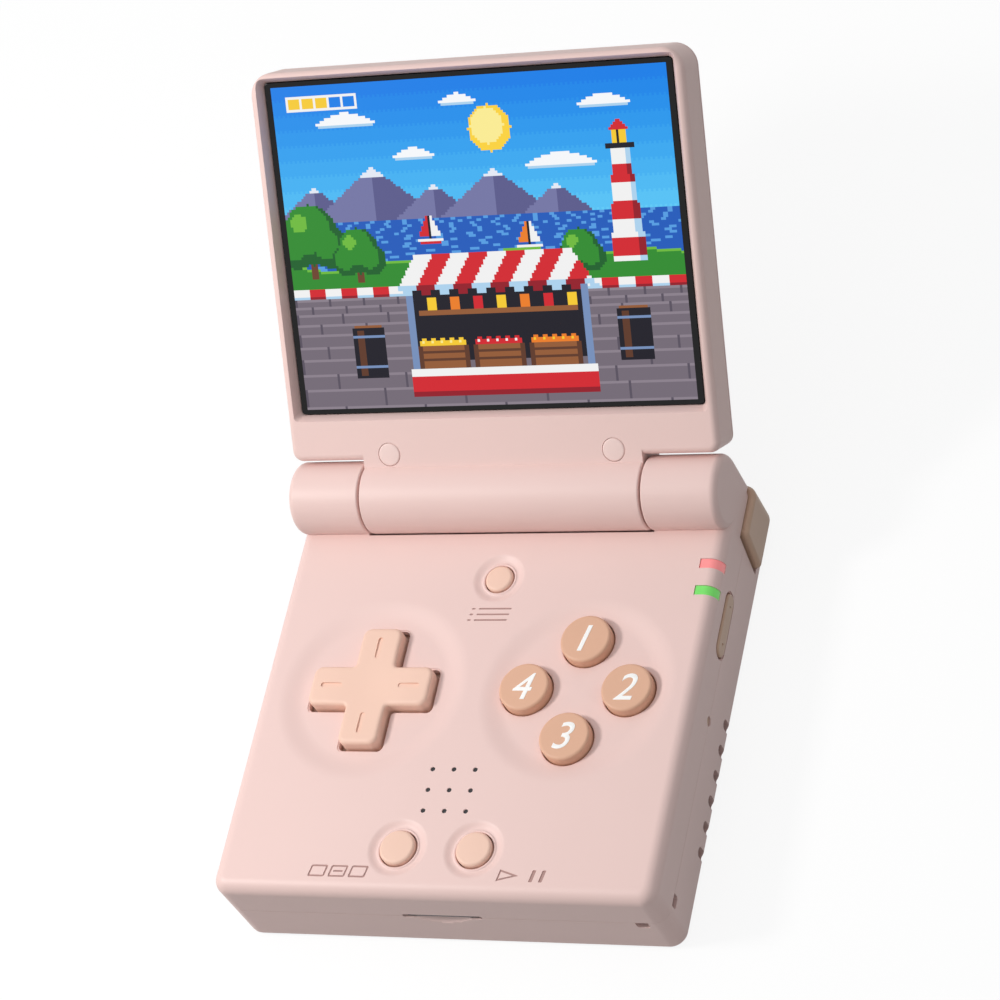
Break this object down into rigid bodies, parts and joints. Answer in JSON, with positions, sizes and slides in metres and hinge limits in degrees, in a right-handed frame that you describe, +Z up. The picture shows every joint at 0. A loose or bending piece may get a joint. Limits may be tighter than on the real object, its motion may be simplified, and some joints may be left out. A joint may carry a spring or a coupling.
{
  "type": "clamshell handheld game console",
  "caption": "Pocket clamshell handheld game console, lid open, with a hinged screen lid, direction pad, round action buttons and shoulder buttons.",
  "frame": {"origin": "middle, in plan, of the base's flat underside", "axes": "+Z up out of the button face, +X to the player's right, +Y to the back, towards the hinge"},
  "size_m": [0.0874, 0.1402, 0.079],
  "materials": {
    "shell": "matte",
    "key_tan": "satin",
    "key_peach": "satin",
    "shoulder_tan": "satin",
    "screen": "gloss",
    "panel": "satin",
    "board": "satin",
    "steel": "brushed",
    "black": "satin",
    "rubber": "matte",
    "ribbon": "satin",
    "battery_wrap": "satin",
    "light_red": "gloss",
    "light_green": "gloss",
    "speaker_can": "satin"
  },
  "bodies": {
    "base": {"base_top_shell": "shell", "base_bottom_shell": "shell", "main_board": "board", "battery": "battery_wrap", "speaker": "speaker_can", "card_socket": "steel", "usb_port": "steel", "headphone_jack": "black", "hinge_cartridge": "steel", "hinge_bush": "steel", "direction_pad_membrane": "rubber", "action_membrane": "rubber", "menu_membrane": "rubber", "option_membrane": "rubber", "shoulder_board_right": "board", "shoulder_board_left": "board", "light_pipe_red": "light_red", "light_pipe_green": "light_green", "case_screw_front_left": "steel", "case_screw_front_right": "steel", "case_screw_back_left": "steel", "case_screw_back_right": "steel"},
    "lid": {"lid_front_bezel": "shell", "lid_rear_cover": "shell", "screen_glass": "screen", "display_panel": "panel", "display_ribbon": "ribbon", "lid_magnet": "steel", "hinge_cam_shaft": "steel", "lid_bumper_left": "shell", "lid_bumper_right": "shell", "lid_screw_left": "steel", "lid_screw_right": "steel"},
    "pad_pivot": {"direction_pad_pivot": "rubber"},
    "direction_pad": {"direction_pad": "key_peach"},
    "action_button_north": {"action_button_north": "key_tan"},
    "action_button_east": {"action_button_east": "key_tan"},
    "action_button_south": {"action_button_south": "key_tan"},
    "action_button_west": {"action_button_west": "key_tan"},
    "menu_button": {"menu_button": "key_peach"},
    "select_button": {"select_button": "key_peach"},
    "start_button": {"start_button": "key_peach"},
    "power_button": {"power_button": "shoulder_tan"},
    "reset_button": {"reset_button": "shoulder_tan"},
    "volume_rocker": {"volume_rocker": "shoulder_tan"},
    "shoulder_button_outer_right": {"shoulder_button_outer_right": "shoulder_tan"},
    "shoulder_button_inner_right": {"shoulder_button_inner_right": "shoulder_tan"},
    "shoulder_button_outer_left": {"shoulder_button_outer_left": "shoulder_tan"},
    "shoulder_button_inner_left": {"shoulder_button_inner_left": "shoulder_tan"},
    "memory_card": {"memory_card": "black"}
  },
  "joints": [
    {"name": "lid_hinge", "type": "hinge", "parent": "base", "child": "lid", "pos_m": [0, 0.03645, 0.0215], "axis": [1, 0, 0], "range_deg": [-24.6, 135.4]},
    {"name": "pad_rock_sideways", "type": "hinge", "parent": "base", "child": "pad_pivot", "pos_m": [-0.0199, -0.0024, 0.014], "axis": [0, 1, 0], "range_deg": [-2, 2], "stiffness_Nm_per_rad": 0.3},
    {"name": "pad_rock_lengthways", "type": "hinge", "parent": "pad_pivot", "child": "direction_pad", "pos_m": [-0.0199, -0.0024, 0.014], "axis": [1, 0, 0], "range_deg": [-2, 2], "stiffness_Nm_per_rad": 0.3},
    {"name": "action_press_north", "type": "slide", "parent": "base", "child": "action_button_north", "axis": [0, 0, -1], "range_m": [0, 0.001], "stiffness_N_per_m": 500},
    {"name": "action_press_east", "type": "slide", "parent": "base", "child": "action_button_east", "axis": [0, 0, -1], "range_m": [0, 0.001], "stiffness_N_per_m": 500},
    {"name": "action_press_south", "type": "slide", "parent": "base", "child": "action_button_south", "axis": [0, 0, -1], "range_m": [0, 0.001], "stiffness_N_per_m": 500},
    {"name": "action_press_west", "type": "slide", "parent": "base", "child": "action_button_west", "axis": [0, 0, -1], "range_m": [0, 0.001], "stiffness_N_per_m": 500},
    {"name": "menu_press", "type": "slide", "parent": "base", "child": "menu_button", "axis": [0, 0, -1], "range_m": [0, 0.001], "stiffness_N_per_m": 500},
    {"name": "select_press", "type": "slide", "parent": "base", "child": "select_button", "axis": [0, 0, -1], "range_m": [0, 0.001], "stiffness_N_per_m": 500},
    {"name": "start_press", "type": "slide", "parent": "base", "child": "start_button", "axis": [0, 0, -1], "range_m": [0, 0.001], "stiffness_N_per_m": 500},
    {"name": "power_press", "type": "slide", "parent": "base", "child": "power_button", "axis": [1, 0, 0], "range_m": [0, 0.0004], "stiffness_N_per_m": 500},
    {"name": "reset_press", "type": "slide", "parent": "base", "child": "reset_button", "axis": [-1, 0, 0], "range_m": [0, 0.0004], "stiffness_N_per_m": 500},
    {"name": "volume_rock", "type": "hinge", "parent": "base", "child": "volume_rocker", "pos_m": [0.0402, 0.0147, 0.0113], "axis": [0, 0, 1], "range_deg": [-3, 3], "stiffness_Nm_per_rad": 0.05},
    {"name": "shoulder_outer_right_press", "type": "hinge", "parent": "base", "child": "shoulder_button_outer_right", "pos_m": [0.0283, 0.04035, 0.0075], "axis": [0, 0, -1], "range_deg": [0, 2], "stiffness_Nm_per_rad": 0.3},
    {"name": "shoulder_inner_right_press", "type": "hinge", "parent": "base", "child": "shoulder_button_inner_right", "pos_m": [0.0121, 0.04035, 0.0075], "axis": [0, 0, -1], "range_deg": [0, 2], "stiffness_Nm_per_rad": 0.3},
    {"name": "shoulder_outer_left_press", "type": "hinge", "parent": "base", "child": "shoulder_button_outer_left", "pos_m": [-0.0283, 0.04035, 0.0075], "axis": [0, 0, 1], "range_deg": [0, 2], "stiffness_Nm_per_rad": 0.3},
    {"name": "shoulder_inner_left_press", "type": "hinge", "parent": "base", "child": "shoulder_button_inner_left", "pos_m": [-0.0121, 0.04035, 0.0075], "axis": [0, 0, 1], "range_deg": [0, 2], "stiffness_Nm_per_rad": 0.3},
    {"name": "card_slide", "type": "slide", "parent": "base", "child": "memory_card", "axis": [0, -1, 0], "range_m": [0, 0.011]}
  ]
}
